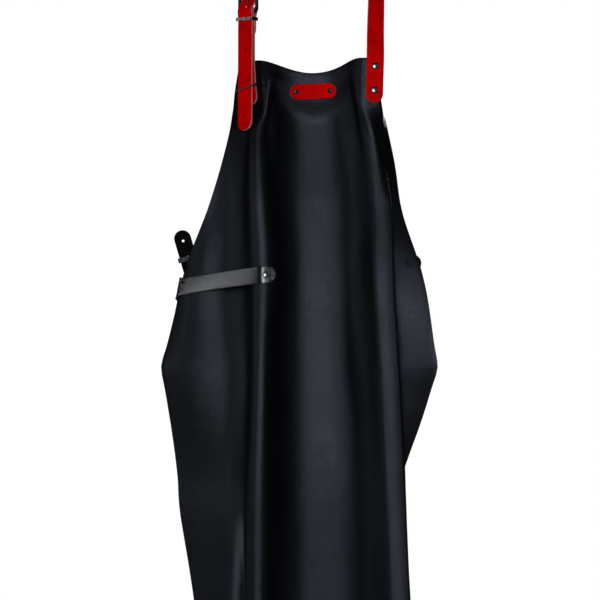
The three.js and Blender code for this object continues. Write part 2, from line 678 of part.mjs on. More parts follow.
function waistBack() {
  const wall = at(0, 1, 0);
  const flat = (place) => {
    const { point, face } = onPanel(place, rightDrop, -behindOut);
    return [point, face.clone().negate()];
  };
  const start = flat(rightEdge - 2);
  start[0].add(at(6, 0, 0));
  const slack = [
    [at(92, -36, waistHeight - 18), at(0, 1, -0.2)],
    [at(38, -27, waistHeight - 95), at(0.1, 0.8, -0.6)],
    [at(-20, -25, waistHeight - 158), at(0, 0.5, -0.9)],
    [at(-76, -24, waistHeight - 184), at(-0.2, 0.5, -0.9)],
    [at(-115, -22, waistHeight - 170), at(-0.6, 0.9, -0.5)],
  ];
  const tail = [-45, -90, -waistTailLength].map((u) => waistKit.knot(u, waistKit.above));
  const behind = [start, flat(rightEdge - 20), flat(rightEdge - 38)];
  const knots = [...behind, ...slack, ...waistKit.holedKnots, ...tail];
  const holes = waistHoles.map((u) => rod(local(waistPlace, u, waistKit.above), wall, holeRadius, 20));
  return cut(strap(knots, { thick: waistThick, roundStart: true, roundEnd: true }), [
    rightRivet.hole,
    waistKit.prongSlot,
    ...holes,
  ]);
}

// ---- label patch
const [patchWide, patchHigh, patchThick] = patch;
const patchDrop = (place) => bibTop - patchHeight - place * Math.tan(rad(patchTilt));
const patchOut = onLeather + lapAir + patchThick / 2;
const patchCapRadius = 3.6;
const patchRivets = [-1, 1].map((side) => {
  const { point, face } = onPanel((side * patchRivetSpan) / 2, patchDrop((side * patchRivetSpan) / 2));
  return rivet(point, face, patchOut + patchThick / 2 + gap, leather / 2 + gap, patchCapRadius);
});

function patchPiece() {
  const knots = [-0.5, -0.3, -0.1, 0.1, 0.3, 0.5].map((share) => {
    const { point, face } = onPanel(share * patchWide, patchDrop(share * patchWide), patchOut);
    return [point, face];
  });
  const strip = strap(knots, { thick: patchThick, half: patchHigh / 2, roundStart: true, roundEnd: true });
  return cut(strip, patchRivets.map(({ hole }) => hole));
}

// ---- assembly
const apron = new THREE.Group();
function add(name, geometry, material) {
  const mesh = new THREE.Mesh(geometry, material);
  mesh.name = name;
  apron.add(mesh);
}
function addRivet(name, { cap, washer }, material) {
  add(name + "_rivet", cap, material);
  add(name + "_washer", washer, material);
}

add("hook_back_plate", hookBackPlate, blackSteel);
add("hook_saddle", hookSaddle, blackSteel);
add("hook_front_lip", hookFrontLip, blackSteel);
["top", "left", "right"].forEach((side, i) =>
  add("wall_screw_" + side, wallScrew(screwPlaces[i]), blackSteel));

add("neck_strap_arch", neckArch(), redLeather);
add("neck_strap_right", neckRight(), redLeather);
add("neck_strap_left", neckLeft(), redLeather);
add("neck_strap_tail", neckTail(), redLeather);
add("neck_buckle_strap", neckBase(), redLeather);
add("neck_buckle_frame", neckKit.frame, blackSteel);
add("neck_buckle_prong", neckKit.prong, blackSteel);
addRivet("neck_fold", neckKit.foldRivet, nickel);
rightRivets.forEach((piece, i) => addRivet("bib_right_" + ["lower", "upper"][i], piece, nickel));
leftRivets.forEach((piece, i) => addRivet("bib_left_" + ["lower", "upper"][i], piece, nickel));
const stackThick = 3 * neckKit.layer + 3.4;
const stackLoop = keeper(neckPlace, upperKeeper.place, upperKeeper.out, stackThick, upperKeeper);
add("neck_upper_keeper", stackLoop, blackLeather);
const ringPlace = onTail(lowerKeeper.place).sub(neckPlace.origin);
const tailRing = keeper(neckPlace, lowerKeeper.place, ringPlace.dot(neckPlace.out) + 0.2, strapThick + 2.6, {
  wide: lowerKeeper.wide,
  tilt: lowerKeeper.tilt,
  air: lowerKeeper.spare,
  sideways: ringPlace.dot(neckPlace.across) + lowerKeeper.spare / 2 - 1.5,
});
add("neck_lower_keeper", tailRing, blackSteel);

add("waist_strap_left", waistFront(), blackLeather);
add("waist_strap_right", waistBack(), blackLeather);
add("waist_buckle_frame", waistKit.frame, blackSteel);
add("waist_buckle_prong", waistKit.prong, blackSteel);
addRivet("waist_fold", waistKit.foldRivet, nickel);
addRivet("waist_front", frontRivet, nickel);
addRivet("waist_right", rightRivet, blackSteel);
const waistLoop = keeper(waistPlace, waistKeeperPlace, waistKit.above, waistThick + 1.2, { wide: 7 });
add("waist_keeper", waistLoop, blackLeather);
add("label_patch", patchPiece(), redLeather);
patchRivets.forEach((piece, i) => addRivet("label_" + ["left", "right"][i], piece, blackSteel));
add("apron_panel", cut(panelGeometry(), rivetHoles), blackLeather);

export default apron;
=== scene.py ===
# Leather bib apron hanging by its neck strap on a half-round wall hook.
# Lengths below are millimetres until a piece is finished; the scene itself is in metres.
import math

import bmesh
import bpy
import numpy as np
from mathutils import Matrix, Vector, noise


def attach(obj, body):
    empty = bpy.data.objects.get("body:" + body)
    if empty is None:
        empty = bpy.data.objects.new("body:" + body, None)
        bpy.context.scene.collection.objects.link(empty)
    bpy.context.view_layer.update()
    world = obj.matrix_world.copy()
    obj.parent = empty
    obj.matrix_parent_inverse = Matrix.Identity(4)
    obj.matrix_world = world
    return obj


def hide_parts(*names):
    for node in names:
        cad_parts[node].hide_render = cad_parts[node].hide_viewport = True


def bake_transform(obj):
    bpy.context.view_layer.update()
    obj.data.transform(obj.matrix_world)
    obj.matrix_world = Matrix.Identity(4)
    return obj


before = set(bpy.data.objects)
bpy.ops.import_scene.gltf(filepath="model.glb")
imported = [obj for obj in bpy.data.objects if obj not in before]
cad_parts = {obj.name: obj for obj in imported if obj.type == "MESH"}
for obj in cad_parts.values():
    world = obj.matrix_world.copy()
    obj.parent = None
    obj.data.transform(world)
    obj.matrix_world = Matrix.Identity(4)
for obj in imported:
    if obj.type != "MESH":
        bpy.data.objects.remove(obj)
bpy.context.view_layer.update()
scene = bpy.context.scene
scene.view_settings.view_transform = "Standard"
scene.view_settings.gamma = 0.85
millimetre = 0.001
print("frame loaded:", len(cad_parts), "nodes")

# camera, lights and floor
cameraPlace = {"at": (-0.016, -3.06, -0.5534), "lens": 123}
cameraData = bpy.data.cameras.new("frontCamera")
cameraData.lens = cameraPlace["lens"]
cameraData.sensor_width = 36
cameraObject = bpy.data.objects.new("frontCamera", cameraData)
cameraObject.location = cameraPlace["at"]
cameraObject.rotation_euler = (math.radians(90), 0, 0)
scene.collection.objects.link(cameraObject)
scene.camera = cameraObject

softLights = {
    "frontSoftbox": {"at": (-0.1, -3.3, -0.35), "size": (0.9, 0.9), "watts": 60, "tint": (0.93, 0.96, 1)},
    "leftSoftbox": {"at": (-2.7, -0.95, -0.25), "size": (0.35, 0.8), "watts": 10, "tint": (0.93, 0.96, 1)},
    "rightSoftbox": {"at": (2.0, -1.6, 0.2), "size": (0.5, 1.4), "watts": 2, "tint": (0.93, 0.96, 1)},
    "topSoftbox": {"at": (0, -0.3, 1.9), "size": (1.6, 1.2), "watts": 2, "tint": (1, 1, 1)},
    "backFill": {"at": (0.5, 2.8, 0.2), "size": (1.4, 1.4), "watts": 45, "tint": (1, 1, 1)},
}
lightTarget = Vector((0, -0.05, -0.5))
for lightName, light in softLights.items():
    lightData = bpy.data.lights.new(lightName, "AREA")
    lightData.shape = "RECTANGLE"
    lightData.size, lightData.size_y = light["size"]
    lightData.energy = light["watts"]
    lightData.color = light["tint"]
    lightObject = bpy.data.objects.new(lightName, lightData)
    lightObject.location = light["at"]
    lightObject.rotation_euler = (lightTarget - Vector(light["at"])).to_track_quat("-Z", "Y").to_euler()
    scene.collection.objects.link(lightObject)

# the room reads white, and gives a dim even light of its own
room = {"seen": (1.0, 1.0, 1.0), "light": (0.82, 0.86, 0.95), "strength": 0.03}
world = bpy.data.worlds.new("studio")
scene.world = world
world.use_nodes = True
tree = world.node_tree
tree.nodes.clear()
seen = tree.nodes.new("ShaderNodeBackground")
seen.inputs["Color"].default_value = (*room["seen"], 1)
dim = tree.nodes.new("ShaderNodeBackground")
dim.inputs["Color"].default_value = (*room["light"], 1)
dim.inputs["Strength"].default_value = room["strength"]
rays = tree.nodes.new("ShaderNodeLightPath")
choose = tree.nodes.new("ShaderNodeMixShader")
worldOut = tree.nodes.new("ShaderNodeOutputWorld")
tree.links.new(rays.outputs["Is Camera Ray"], choose.inputs["Fac"])
tree.links.new(dim.outputs[0], choose.inputs[1])
tree.links.new(seen.outputs[0], choose.inputs[2])
tree.links.new(choose.outputs[0], worldOut.inputs["Surface"])
print("camera and lights set")


# materials
def newMaterial(name, viewColor):
    material = bpy.data.materials.new(name)
    material.use_nodes = True
    material.diffuse_color = (*viewColor, 1)
    nodes = material.node_tree.nodes
    return material, nodes, material.node_tree.links, nodes["Principled BSDF"]


def noiseNode(nodes, links, vector, scale, detail=3.0, roughness=0.55, distortion=0.0):
    node = nodes.new("ShaderNodeTexNoise")
    node.inputs["Scale"].default_value = scale
    node.inputs["Detail"].default_value = detail
    node.inputs["Roughness"].default_value = roughness
    node.inputs["Distortion"].default_value = distortion
    links.new(vector, node.inputs["Vector"])
    return node.outputs["Fac"]


def ramp(nodes, links, factor, stops):
    node = nodes.new("ShaderNodeValToRGB")
    elements = node.color_ramp.elements
    while len(elements) < len(stops):
        elements.new(0.5)
    for element, (position, color) in zip(elements, stops):
        element.position = position
        element.color = (*color, 1) if len(color) == 3 else color
    links.new(factor, node.inputs["Fac"])
    return node.outputs["Color"]


def remap(nodes, links, value, low, high, fromLow=0.0, fromHigh=1.0):
    node = nodes.new("ShaderNodeMapRange")
    node.inputs["From Min"].default_value = fromLow
    node.inputs["From Max"].default_value = fromHigh
    node.inputs["To Min"].default_value = low
    node.inputs["To Max"].default_value = high
    links.new(value, node.inputs["Value"])
    return node.outputs["Result"]


def arithmetic(nodes, links, kind, first, second):
    node = nodes.new("ShaderNodeMath")
    node.operation = kind
    for socket, value in zip(node.inputs, (first, second)):
        if isinstance(value, (int, float)):
            socket.default_value = value
        else:
            links.new(value, socket)
    return node.outputs[0]


def bump(nodes, links, height, distance, strength, before=None):
    node = nodes.new("ShaderNodeBump")
    node.inputs["Distance"].default_value = distance
    node.inputs["Strength"].default_value = strength
    links.new(height, node.inputs["Height"])
    if before is not None:
        links.new(before, node.inputs["Normal"])
    return node.outputs["Normal"]


# Grained leather: pebbled cells, pores and creases in the hide, along the piece's own UV map in metres.
def grainedLeather(name, look):
    material, nodes, links, shader = newMaterial(name, look["middle"])
    uv = nodes.new("ShaderNodeTexCoord").outputs["UV"]
    cloudy = noiseNode(nodes, links, uv, look["cloudScale"], 4.0, 0.6, 0.4)
    mottled = noiseNode(nodes, links, uv, 260, 3.0, 0.6)
    tone = arithmetic(nodes, links, "ADD", cloudy, remap(nodes, links, mottled, -0.12, 0.12))
    links.new(
        ramp(nodes, links, tone, [(0.3, look["dark"]), (0.52, look["middle"]), (0.75, look["light"])]),
        shader.inputs["Base Color"],
    )
    pebble = nodes.new("ShaderNodeTexVoronoi")
    pebble.feature = "DISTANCE_TO_EDGE"
    pebble.inputs["Scale"].default_value = look["grainScale"]
    pebble.inputs["Randomness"].default_value = 0.95
    warp = nodes.new("ShaderNodeVectorMath")
    warp.operation = "MULTIPLY_ADD"
    warpNoise = nodes.new("ShaderNodeTexNoise")
    warpNoise.inputs["Scale"].default_value = look["grainScale"] * 0.4
    links.new(uv, warpNoise.inputs["Vector"])
    links.new(warpNoise.outputs["Color"], warp.inputs[0])
    warp.inputs[1].default_value = (0.0012, 0.0012, 0.0012)
    links.new(uv, warp.inputs[2])
    links.new(warp.outputs[0], pebble.inputs["Vector"])
    cell = remap(nodes, links, pebble.outputs["Distance"], 0, 1, 0.0, 0.28)
    pores = noiseNode(nodes, links, uv, look["grainScale"] * 3.2, 2.0, 0.6)
    hide = noiseNode(nodes, links, uv, look["creaseScale"], 5.0, 0.62, 0.8)
    relief = bump(nodes, links, hide, 0.0008, look["creaseStrength"])
    relief = bump(nodes, links, mottled, 0.0003, look["mottle"], relief)
    relief = bump(nodes, links, cell, 0.00012, look["grainStrength"], relief)
    relief = bump(nodes, links, pores, 0.00004, 0.5, relief)
    links.new(relief, shader.inputs["Normal"])
    gloss = arithmetic(nodes, links, "ADD", remap(nodes, links, cloudy, -0.07, 0.07), look["roughness"])
    gloss = arithmetic(nodes, links, "SUBTRACT", gloss, remap(nodes, links, cell, 0.0, 0.05))
    links.new(gloss, shader.inputs["Roughness"])
    shader.inputs["Specular IOR Level"].default_value = look["specular"]
    shader.inputs["Specular Tint"].default_value = (*look["shine"], 1)
    shader.inputs["Coat Weight"].default_value = look["coat"]
    shader.inputs["Coat Roughness"].default_value = 0.35
    return material


# A cut through the hide: pale compressed fibres in thin layers.
def cutEdge(name, look):
    material, nodes, links, shader = newMaterial(name, look["light"])
    place = nodes.new("ShaderNodeTexCoord").outputs["Object"]
    fibre = noiseNode(nodes, links, place, 900, 4.0, 0.7)
    patches = noiseNode(nodes, links, place, 60, 3.0, 0.6)
    blend = arithmetic(nodes, links, "MULTIPLY_ADD", fibre, 0.55)
    blend.node.inputs[2].default_value = 0.0
    both = arithmetic(nodes, links, "ADD", blend, remap(nodes, links, patches, 0.0, 0.45))
    links.new(
        ramp(nodes, links, both, [(0.3, look["dark"]), (0.62, look["light"])]), shader.inputs["Base Color"]
    )
    links.new(bump(nodes, links, fibre, 0.0003, 0.55), shader.inputs["Normal"])
    shader.inputs["Roughness"].default_value = look["roughness"]
    shader.inputs["Specular IOR Level"].default_value = 0.3
    return material


# The flesh side of a hide: short raised fibres, dull and uneven.
def fleshSide(name, look):
    material, nodes, links, shader = newMaterial(name, look["light"])
    uv = nodes.new("ShaderNodeTexCoord").outputs["UV"]
    nap = noiseNode(nodes, links, uv, 1400, 4.0, 0.7)
    patches = noiseNode(nodes, links, uv, 34, 4.0, 0.62, 0.6)
    tone = arithmetic(nodes, links, "ADD", patches, remap(nodes, links, nap, -0.16, 0.16))
    color = ramp(nodes, links, tone, [(0.32, look["dark"]), (0.7, look["light"])])
    links.new(color, shader.inputs["Base Color"])
    relief = bump(nodes, links, patches, 0.0006, 0.2)
    links.new(bump(nodes, links, nap, 0.00025, 0.7, relief), shader.inputs["Normal"])
    shader.inputs["Roughness"].default_value = 0.92
    shader.inputs["Specular IOR Level"].default_value = 0.1
    return material


# Metal with its own plating or powder coat: fine orange peel, handling scratches and dulled patches.
def workedMetal(name, look):
    material, nodes, links, shader = newMaterial(name, look["color"])
    place = nodes.new("ShaderNodeTexCoord").outputs["Object"]
    patches = noiseNode(nodes, links, place, 70, 4.0, 0.65)
    color = ramp(nodes, links, patches, [(0.3, look["worn"]), (0.6, look["color"])])
    links.new(color, shader.inputs["Base Color"])
    peel = noiseNode(nodes, links, place, look["peelScale"], 2.0, 0.5)
    stretch = nodes.new("ShaderNodeMapping")
    stretch.inputs["Scale"].default_value = (2600, 240, 900)
    links.new(place, stretch.inputs["Vector"])
    scratches = noiseNode(nodes, links, stretch.outputs["Vector"], 1.0, 2.0, 0.5)
    relief = bump(nodes, links, peel, 0.00006, look["peel"])
    links.new(bump(nodes, links, scratches, 0.00003, look["scratch"], relief), shader.inputs["Normal"])
    gloss = arithmetic(nodes, links, "ADD", remap(nodes, links, patches, 0.06, -0.05), look["roughness"])
    links.new(gloss, shader.inputs["Roughness"])
    shader.inputs["Metallic"].default_value = look["metallic"]
    return material


blackLeather = grainedLeather("blackLeather", {
    "dark": (0.0012, 0.0013, 0.0018), "middle": (0.0022, 0.0024, 0.0032), "light": (0.0040, 0.0043, 0.0056),
    "cloudScale": 9, "grainScale": 950, "creaseScale": 55,
    "grainStrength": 0.8, "mottle": 0.4, "creaseStrength": 0.10,
    "roughness": 0.37, "specular": 0.5, "shine": (0.78, 0.85, 1.0), "coat": 0.0,
})
strapLeather = grainedLeather("blackStrapLeather", {
    "dark": (0.0020, 0.0021, 0.0026), "middle": (0.0036, 0.0038, 0.0046), "light": (0.0070, 0.0073, 0.0085),
    "cloudScale": 22, "grainScale": 1100, "creaseScale": 120,
    "grainStrength": 0.4, "mottle": 0.15, "creaseStrength": 0.08,
    "roughness": 0.23, "specular": 1.0, "shine": (1, 1, 1), "coat": 0.2,
})
redLeather = grainedLeather("redLeather", {
    "dark": (0.48, 0.0005, 0.0007), "middle": (0.70, 0.0008, 0.001), "light": (0.84, 0.0015, 0.002),
    "cloudScale": 26, "grainScale": 1050, "creaseScale": 130,
    "grainStrength": 0.45, "mottle": 0.2, "creaseStrength": 0.10,
    "roughness": 0.55, "specular": 0.02, "shine": (1, 1, 1), "coat": 0.0,
})
blackFlesh = fleshSide("blackFleshSide", {
    "dark": (0.0018, 0.0018, 0.0021), "light": (0.0065, 0.0066, 0.0074),
})
# The panel's flesh side is the black flesh side made about four times lighter. Partly this is the paleness of
# black suede, and partly it is painted light, so the panel's back shows in the dim light behind it.
panelFleshPaintedLight = fleshSide("paintedLightPanelBack", {
    "dark": (0.0065, 0.0066, 0.0074), "light": (0.024, 0.0245, 0.027),
})
redFlesh = fleshSide("redFleshSide", {"dark": (0.14, 0.012, 0.012), "light": (0.27, 0.032, 0.030)})
redEdge = cutEdge("redCutEdge", {
    "dark": (0.50, 0.12, 0.13), "light": (0.80, 0.42, 0.42), "roughness": 0.75,
})
blackEdge = cutEdge("blackCutEdge", {
    "dark": (0.012, 0.012, 0.014), "light": (0.06, 0.061, 0.066), "roughness": 0.7,
})
blackSteel = workedMetal("blackSteel", {
    "color": (0.012, 0.012, 0.013), "worn": (0.030, 0.030, 0.032), "peelScale": 1500, "peel": 0.35,
    "scratch": 0.2, "roughness": 0.36, "metallic": 0.35,
})
nickel = workedMetal("nickel", {
    "color": (0.30, 0.30, 0.30), "worn": (0.20, 0.20, 0.20), "peelScale": 900, "peel": 0.08,
    "scratch": 0.4, "roughness": 0.24, "metallic": 1.0,
})
print("materials made")


# finishing a piece
def intoScene(name, bm, materials, smoothTo=40):
    bmesh.ops.scale(bm, vec=(millimetre,) * 3, verts=bm.verts)
    mesh = bpy.data.meshes.new(name)
    bm.to_mesh(mesh)
    bm.free()
    for material in materials:
        mesh.materials.append(material)
    piece = bpy.data.objects.new(name, mesh)
    scene.collection.objects.link(piece)
    shade(piece, smoothTo)
    return piece


def shade(piece, smoothTo=40):
    piece.data.polygons.foreach_set("use_smooth", [True] * len(piece.data.polygons))
    piece.data.set_sharp_from_angle(angle=math.radians(smoothTo))


# Turns a piece's modifiers into its mesh.
def settle(piece, smoothTo=40):
    settled = bpy.data.meshes.new_from_object(piece.evaluated_get(bpy.context.evaluated_depsgraph_get()))
    piece.modifiers.clear()
    before = piece.data
    piece.data = settled
    bpy.data.meshes.remove(before)
    shade(piece, smoothTo)


def giveBody(piece, thick, rounding, cutters=(), smoothTo=40):
    body = piece.modifiers.new("body", "SOLIDIFY")
    body.thickness = thick * millimetre
    body.offset = 0
    body.use_even_offset = True
    body.material_offset_rim = 1
    body.material_offset = 2
    for cutter in cutters:
        hole = piece.modifiers.new("hole", "BOOLEAN")
        hole.operation = "DIFFERENCE"
        hole.solver = "EXACT"
        hole.object = cutter
    soften = piece.modifiers.new("soften", "BEVEL")
    soften.width = rounding * millimetre
    soften.segments = 2
    soften.limit_method = "ANGLE"
    soften.angle_limit = math.radians(55)
    settle(piece, smoothTo)
    for cutter in cutters:
        bpy.data.objects.remove(cutter)


def claim(piece, body, slot, *nodes):
    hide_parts(*nodes)
    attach(piece, body)


# the panel's drape
# Across the panel at one height, the leather turns through these angles (degrees) at these flat places.
panel = {
    "thick": 2, "long": 860, "wide": 600, "bib": 230, "cornerDrop": 450, "hemTaper": 144, "hemRadius": 26,
    "neckDip": 18, "neckHalf": 82, "top": -201.5, "columns": 190, "rows": 205,
}
drapeFields = ("drop edge outer inner ridge ridgeSoft leftFlank leftCrest leftSoft leftTrough rightTrough "
               "rightCrest rightSoft turnBack fold foldSoft flap").split()
drape = np.array([
    (0, -58, -48, -36, -110, 4, 36, -74, 10, 10, 50, 84, 10, 6, 113, 4, 50),
    (45, -60, -50, -36, -114, 4, 36, -74, 10, 24, 54, 84, 10, 6, 112, 4, 84),
    (70, -62, -52, -37, -118, 5, 36, -74, 10, 36, 56, 85, 10, 8, 115, 4, 88),
    (105, -36, -46, -45, -130, 6, 55, -96, 16, 52, 56, 102, 16, 67, 130, 6, 66),
    (205, -8, -28, -42, -160, 12, 64, -103, 24, 59, 52, 119, 18, 112, 163, 10, 31),
    (315, -47, -5, -31, -180, 16, 60, -96, 25, 57, 60, 127, 20, 115, 182, 13, 6),
    (450, -38, -6, -35, -187, 20, 83, -114, 25, 68, 55, 129, 20, 131, 202, 14, -14),
    (610, -29, -31, -47, -174, 20, 61, -116, 25, 65, 47, 129, 20, 144, 206, 15, 32),
    (700, -34, -42, 4, -160, 14, 57, -117, 25, 63, 50, 134, 20, 141, 208, 15, 47),
    (860, -46, -46, 40, -162, 16, 46, -119, 24, 61, 56, 142, 20, 133, 212, 16, 77),
], float)
crestDepth = ((0, 105, 205, 315, 450, 860), (-66, -76, -90, -101, -110, -112))
trough = {"start": 2, "drift": 0.018, "bottom": 0.97}  # bottom: the share of its width that is curved
broadCrest = {"turns": (-6, 14), "shift": 6.5}
# the slack below the neckline, which hangs as a U between the straps
cowl = {"reach": 84, "shoulder": 58, "middle": 18, "rise": 62, "from": 35, "until": 95, "gone": 190,
        "lean": 9, "brim": 11}


def halfWidth(drop):
    bib, corner = panel["bib"] / 2, panel["wide"] / 2

    def side(place):
        above = min(max(place / panel["cornerDrop"], 0), 1)
        below = min(max((place - panel["cornerDrop"]) / (panel["long"] - panel["cornerDrop"]), 0), 1)
        return bib + (corner - bib) * above**1.06 - panel["hemTaper"] / 2 * below**0.9

    width = (side(drop - 12) + 2 * side(drop) + side(drop + 12)) / 4
    intoHem = max(0, drop - (panel["long"] - panel["hemRadius"]))
    return width - panel["hemRadius"] + math.sqrt(max(0, panel["hemRadius"] ** 2 - intoHem**2))


def drapeAt(drop):
    place = min(max(drop, 0), panel["long"])
    i = min(max(int(np.searchsorted(drape[:, 0], place)) - 1, 0), len(drape) - 2)

    def slope(k):
        a, b = drape[max(k - 1, 0)], drape[min(k + 1, len(drape) - 1)]
        return (b - a) / (b[0] - a[0])

    low, high = drape[i], drape[i + 1]
    step = high[0] - low[0]
    t = (place - low[0]) / step
    row = ((2 * t**3 - 3 * t**2 + 1) * low + (t**3 - 2 * t**2 + t) * step * slope(i)
           + (3 * t**2 - 2 * t**3) * high + (t**3 - t**2) * step * slope(i + 1))
    return dict(zip(drapeFields, row))


sections = {}


# The cross-section at one drop: flat places, turning angle and hanging points.
def sectionAt(drop):
    key = round(drop, 2)
    if key in sections:
        return sections[key]
    q = drapeAt(drop)
    half = halfWidth(min(drop, panel["long"] - panel["hemRadius"]))
    full = min(max((drop - 110) / 95, 0), 1)  # how far the right crest has broadened
    span = q["turnBack"] + q["rightTrough"]
    early = full * broadCrest["turns"][0] + (1 - full) * (0.248 * span - q["rightTrough"])
    late = full * broadCrest["turns"][1] + (1 - full) * (0.871 * span - q["rightTrough"])
    right, soft = q["rightCrest"] - broadCrest["shift"] * full, q["rightSoft"]
    knots = [-half, q["ridge"] - q["ridgeSoft"], q["ridge"] + q["ridgeSoft"], q["leftCrest"] - q["leftSoft"],
             q["leftCrest"] + q["leftSoft"], trough["bottom"] * (q["leftCrest"] + q["leftSoft"]), 0,
             trough["bottom"] * (right - soft), right - soft, right - 0.35 * soft, right + 0.55 * soft,
             right + soft, q["fold"] - q["foldSoft"], q["fold"] + q["foldSoft"], 2 * half]
    turns = np.radians([q["edge"], q["outer"], q["inner"], -q["leftFlank"], q["leftTrough"],
                        q["leftTrough"], 0, -q["rightTrough"], -q["rightTrough"], early, late,
                        q["turnBack"], q["turnBack"], q["flap"], q["flap"]])
    places = np.linspace(-half, half, 601)
    middle = (places[1:] + places[:-1]) / 2
    k = np.clip(np.searchsorted(knots[1:-1], middle, side="left"), 0, len(knots) - 2)
    knotArray = np.array(knots)
    t = np.clip((middle - knotArray[k]) / np.maximum(knotArray[k + 1] - knotArray[k], 1e-6), 0, 1)
    angle = turns[k] + (turns[k + 1] - turns[k]) * t * t * (3 - 2 * t)
    step = 2 * half / 600
    x = np.concatenate(([0], np.cumsum(np.cos(angle)) * step))
    y = np.concatenate(([0], np.cumsum(np.sin(angle)) * step))
    x += trough["start"] + trough["drift"] * drop - np.interp(0, places, x)
    crests = [np.interp(q[c], places, y) for c in ("leftCrest", "rightCrest")]
    y += np.interp(drop, *crestDepth) - sum(crests) / 2
    sections[key] = (places, x, y, middle, angle)
    return sections[key]


def eased(value, low, high):
    t = min(max((value - low) / (high - low), 0), 1)
    return t * t * (3 - 2 * t)


def hang(place, drop):
    across = min(abs(place) / cowl["reach"], 1)
    slack = cowl["middle"] + cowl["rise"] * across**2
    slack *= eased(-abs(place), -cowl["reach"], -cowl["shoulder"])
    slack *= eased(drop, 0, cowl["from"]) * (1 - eased(drop, cowl["until"], cowl["gone"]))
    lean = cowl["lean"] * (1 - across**2) ** 2 * math.exp(-drop / cowl["brim"])
    row = math.floor(drop + slack)
    share = drop + slack - row
    ends = []
    for places, x, y, _, _ in (sectionAt(row), sectionAt(row + 1)):
        ends.append(Vector((float(np.interp(place, places, x)), float(np.interp(place, places, y)), 0)))
    return ends[0].lerp(ends[1], share) + Vector((0, lean, panel["top"] - drop))


# A point on the panel moved out of its front face, and that face's normal.
def onPanel(place, drop, out=0.0):
    right = hang(place + 1, drop) - hang(place - 1, drop)
    down = hang(place, drop + 1) - hang(place, max(0, drop - 1))
    face = down.cross(right).normalized()
    return hang(place, drop) + face * out, face


# Where pieces lie on the panel it stays smooth: place, drop, reach across, reach down.
calmPlaces = [
    (104, 20, 30, 60), (-97, 20, 30, 60), (0, 44, 50, 30),
    (-98, 316, 40, 34), (-210, 330, 40, 60), (205, 297, 40, 40),
]


def handledCreases(place, drop):
    calm = 1.0
    for cx, cy, reachX, reachY in calmPlaces:
        calm *= 1 - math.exp(-(((place - cx) / reachX) ** 2 + ((drop - cy) / reachY) ** 2) ** 2)
    broad = noise.noise(Vector((place / 62, drop / 150, 1.7)))
    medium = noise.noise(Vector((place / 26 + 4, drop / 58, 5.1)))
    cross = noise.noise(Vector((place / 70, drop / 24, 9.4)))
    return calm * (1.5 * broad + 0.55 * medium + 0.22 * cross)


def makePanel():
    columns, rows = panel["columns"], panel["rows"]
    bm = bmesh.new()
    bmesh.ops.create_grid(bm, x_segments=columns, y_segments=rows, size=1)
    hem = panel["long"] - panel["hemRadius"]
    mainRows = rows - 14
    drops = [hem * i / mainRows for i in range(mainRows + 1)]
    drops += [hem + panel["hemRadius"] * math.sin(math.radians(90 * i / 14)) for i in range(1, 15)]
    rowPlaces = []
    for drop in drops:
        places, _, _, middle, angle = sectionAt(drop)
        bend = np.abs(np.gradient(angle, middle))
        density = 1 / (places[-1] - places[0]) + 0.16 * np.convolve(bend, np.ones(15) / 15, "same")
        share = np.concatenate(([0], np.cumsum(density)))
        share /= share[-1]
        half = halfWidth(drop)
        spread = np.interp(np.linspace(0, 1, columns + 1), share, places)
        rowPlaces.append(spread * half / places[-1])
    uvLayer = bm.loops.layers.uv.new("UVMap")
    flatPlace = {}
    for vert in bm.verts:
        i = round((1 - vert.co.y) / 2 * rows)
        j = round((vert.co.x + 1) / 2 * columns)
        place, base = float(rowPlaces[i][j]), drops[i]
        inside = max(0, 1 - (place / panel["neckHalf"]) ** 2)
        drop = base + panel["neckDip"] * inside**2 * max(0, 1 - base / 112)
        flatPlace[vert.index] = (place, drop)
        point, face = onPanel(place, drop)
        vert.co = point + face * handledCreases(place, drop)
    for face in bm.faces:
        for loop in face.loops:
            place, drop = flatPlace[loop.vert.index]
            loop[uvLayer].uv = (place * millimetre, drop * millimetre)
    bm.normal_update()
    # the panel's back takes the lightened flesh side, which is partly painted light
    piece = intoScene("apronPanel", bm, [blackLeather, blackEdge, panelFleshPaintedLight], 60)
    giveBody(piece, panel["thick"], 0.35, smoothTo=60)
    return piece


panelPiece = makePanel()
print("panel draped:", len(panelPiece.data.polygons), "faces")

# straps
fit = {"gap": 0.3, "lapAir": 0.5}
strapSize = {"wide": 25, "thick": 3, "archRadius": 94.2 + 0.3 + 1.5, "depth": -36}
onLeather = panel["thick"] / 2 + fit["gap"]
strapOut = onLeather + fit["lapAir"] + strapSize["thick"] / 2


def turned(side, degrees):
    return Vector((side * math.sin(math.radians(degrees)), -math.cos(math.radians(degrees)), 0))


# A smooth path through the knots' points, sampled closely: points, faces and edge directions.
def samplePath(knots, fine=24):
    points = [Vector(k[0]) for k in knots]
    ends = [points[0] * 2 - points[1], *points, points[-1] * 2 - points[-2]]
    samples = []
    for i in range(len(points) - 1):
        p = ends[i:i + 4]
        gaps = [max((p[n + 1] - p[n]).length ** 0.5, 1e-4) for n in range(3)]
        between = (p[2] - p[1]) / gaps[1]
        a = ((p[1] - p[0]) / gaps[0] - (p[2] - p[0]) / (gaps[0] + gaps[1]) + between) * gaps[1]
        b = (between - (p[3] - p[1]) / (gaps[1] + gaps[2]) + (p[3] - p[2]) / gaps[2]) * gaps[1]
        for n in range(fine + (i == len(points) - 2)):
            t = n / fine
            point = (p[1] * (2 * t**3 - 3 * t**2 + 1) + a * (t**3 - 2 * t**2 + t)
                     + p[2] * (3 * t**2 - 2 * t**3) + b * (t**3 - t**2))
            face = Vector(knots[i][1]).lerp(Vector(knots[i + 1][1]), t)
            samples.append((point, face, i + t))
    return samples


